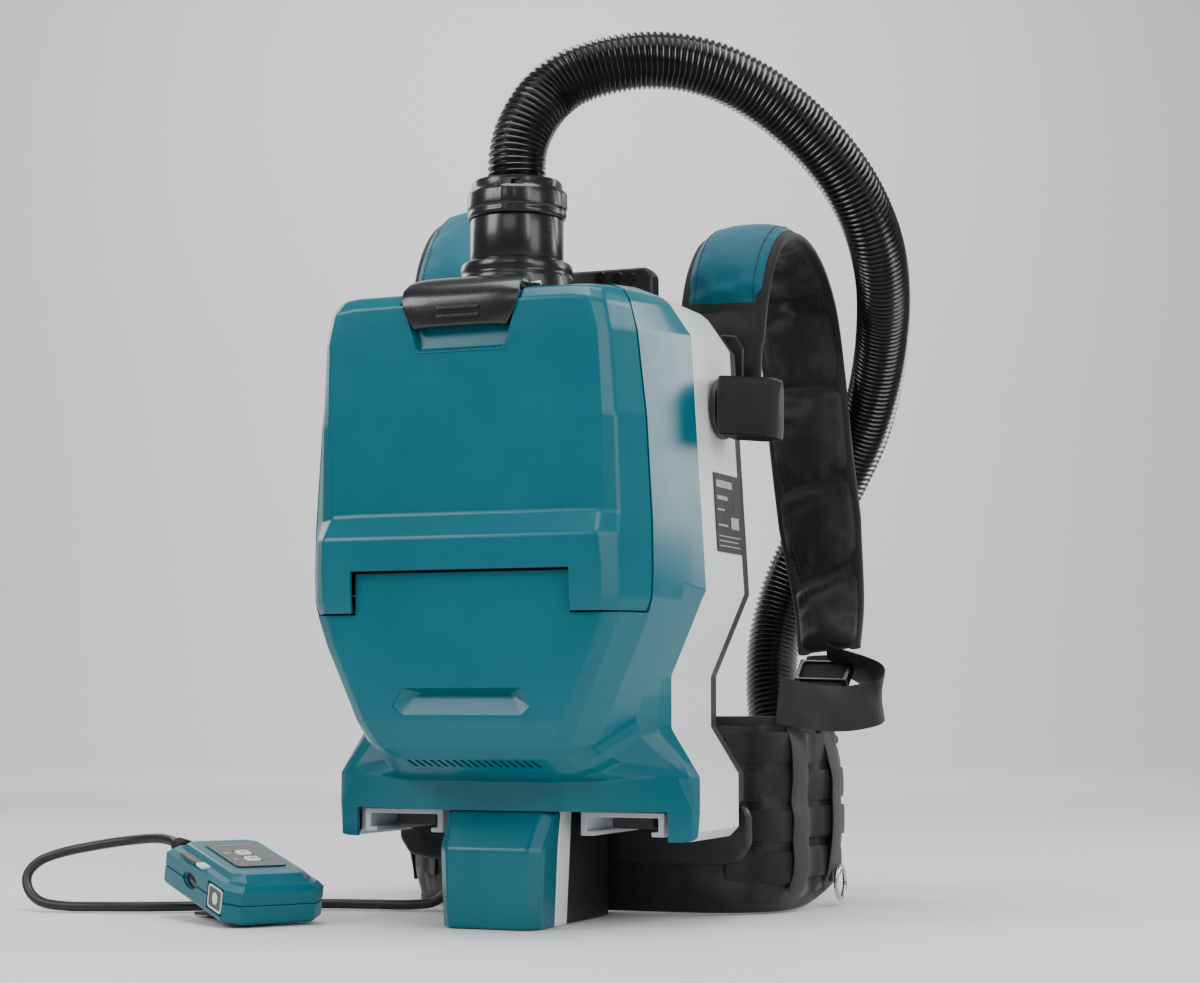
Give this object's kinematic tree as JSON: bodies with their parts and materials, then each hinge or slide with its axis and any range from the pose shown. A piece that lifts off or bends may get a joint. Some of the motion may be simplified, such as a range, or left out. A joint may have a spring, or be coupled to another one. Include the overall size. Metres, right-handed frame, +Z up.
{
  "type": "backpack vacuum cleaner",
  "caption": "Backpack vacuum cleaner with a hinged front lid, top hose port and ribbed hose, battery docks, padded shoulder straps and hip belt, and a wired remote.",
  "frame": {"origin": "on the floor under the vertical axis of the hose port, on the underside of the centre foot", "axes": "+Z up; -Y out of the lid, so +Y goes into the wearer's back; +X to the right as seen from the front"},
  "size_m": [0.6772, 0.5213, 0.6993],
  "materials": {
    "teal_shell": "semi-gloss moulded teal",
    "white_band": "satin white moulded",
    "black_shell": "fine textured black",
    "black_gloss": "semi-gloss black",
    "hose_plastic": "glossy ribbed black",
    "black_rubber": "matt rubber",
    "cord_rubber": "matt cord jacket",
    "dock_grey": "light grey moulded",
    "harness_fabric": "woven nylon over foam",
    "harness_webbing": "woven webbing",
    "label_film": "printed film, blank",
    "filter_media": "pleated filter media",
    "bag_fleece": "fleece dust bag",
    "card": "card flange",
    "steel": "plain steel",
    "motor_metal": "cast and wound",
    "board": "circuit board",
    "foam": "open cell foam",
    "white_key": "white key"
  },
  "bodies": {
    "root": {"front_housing": "teal_shell", "mid_frame": "white_band", "rear_housing": "black_shell", "lower_back_cover": "black_shell", "foot_front": "teal_shell", "foot_middle": "white_band", "foot_rear": "black_shell", "inlet_port": "black_gloss", "inlet_seal": "black_rubber", "hose_sleeve": "black_gloss", "hose": "hose_plastic", "hose_end_cuff": "black_gloss", "carry_handle": "black_shell", "hose_holder_plate": "black_shell", "hose_holder_band": "harness_webbing", "rating_label": "label_film", "partition": "black_shell", "hepa_filter": "filter_media", "dust_bag": "bag_fleece", "dust_bag_flange": "card", "motor_housing": "black_shell", "motor": "motor_metal", "motor_mount": "black_rubber", "control_board": "board", "exhaust_foam": "foam", "battery_dock_left": "dock_grey", "battery_dock_right": "dock_grey", "battery_terminal_left": "black_shell", "battery_terminal_right": "black_shell", "back_frame": "black_shell", "back_pad": "harness_fabric", "shoulder_strap_left": "harness_fabric", "shoulder_strap_right": "harness_fabric", "strap_webbing_left": "harness_webbing", "strap_webbing_right": "harness_webbing", "hip_belt": "harness_fabric", "belt_webbing_upper_left": "harness_webbing", "belt_webbing_upper_right": "harness_webbing", "belt_webbing_lower_left": "harness_webbing", "belt_webbing_lower_right": "harness_webbing", "d_ring_tab": "harness_webbing", "lid_hinge_pin_left": "steel", "lid_hinge_pin_right": "steel", "remote_case_bottom": "teal_shell", "remote_case_top": "teal_shell", "remote_display_panel": "label_film", "remote_belt_clip": "black_shell", "remote_strain_relief": "black_rubber", "cord_gland": "black_rubber", "remote_cord": "cord_rubber"},
    "lid": {"lid": "teal_shell", "lid_seal": "black_rubber", "latch_pin": "steel"},
    "latch": {"lid_latch": "black_gloss"},
    "lock_ring": {"hose_lock_ring": "black_gloss"},
    "fan": {"fan_impeller": "motor_metal"},
    "power_button": {"remote_power_button": "black_gloss"},
    "start_button": {"remote_start_button": "white_key"},
    "mode_button": {"remote_mode_button": "white_key"},
    "d_ring": {"d_ring": "steel"}
  },
  "joints": [
    {"name": "lid_hinge", "type": "hinge", "parent": "root", "child": "lid", "pos_m": [0, -0.0945, 0.249], "axis": [1, 0, 0], "range_deg": [0, 85]},
    {"name": "latch_pivot", "type": "hinge", "parent": "lid", "child": "latch", "pos_m": [0, -0.075, 0.4795], "axis": [-1, 0, 0], "range_deg": [0, 35], "stiffness_Nm_per_rad": 0.05, "springref_deg": -11.46},
    {"name": "lock_ring_turn", "type": "hinge", "parent": "root", "child": "lock_ring", "pos_m": [0, 0, 0.5589], "axis": [0, 0, 1], "range_deg": [0, 35]},
    {"name": "fan_spin", "type": "hinge", "parent": "root", "child": "fan", "pos_m": [0, 0.03, 0.2], "axis": [0, 0, 1], "continuous": true},
    {"name": "power_button_push", "type": "slide", "parent": "root", "child": "power_button", "axis": [0.5779, 0.8161, 0], "range_m": [0, 0.001], "stiffness_N_per_m": 300, "springref_m": -0.001},
    {"name": "start_button_push", "type": "slide", "parent": "root", "child": "start_button", "axis": [-0.1697, 0.1202, -0.9781], "range_m": [0, 0.001], "stiffness_N_per_m": 300, "springref_m": -0.001},
    {"name": "mode_button_push", "type": "slide", "parent": "root", "child": "mode_button", "axis": [-0.1697, 0.1202, -0.9781], "range_m": [0, 0.001], "stiffness_N_per_m": 300, "springref_m": -0.001},
    {"name": "d_ring_swing", "type": "hinge", "parent": "root", "child": "d_ring", "pos_m": [0.184, 0.253, 0.032], "axis": [0, 1, 0], "range_deg": [-25, 10]}
  ]
}
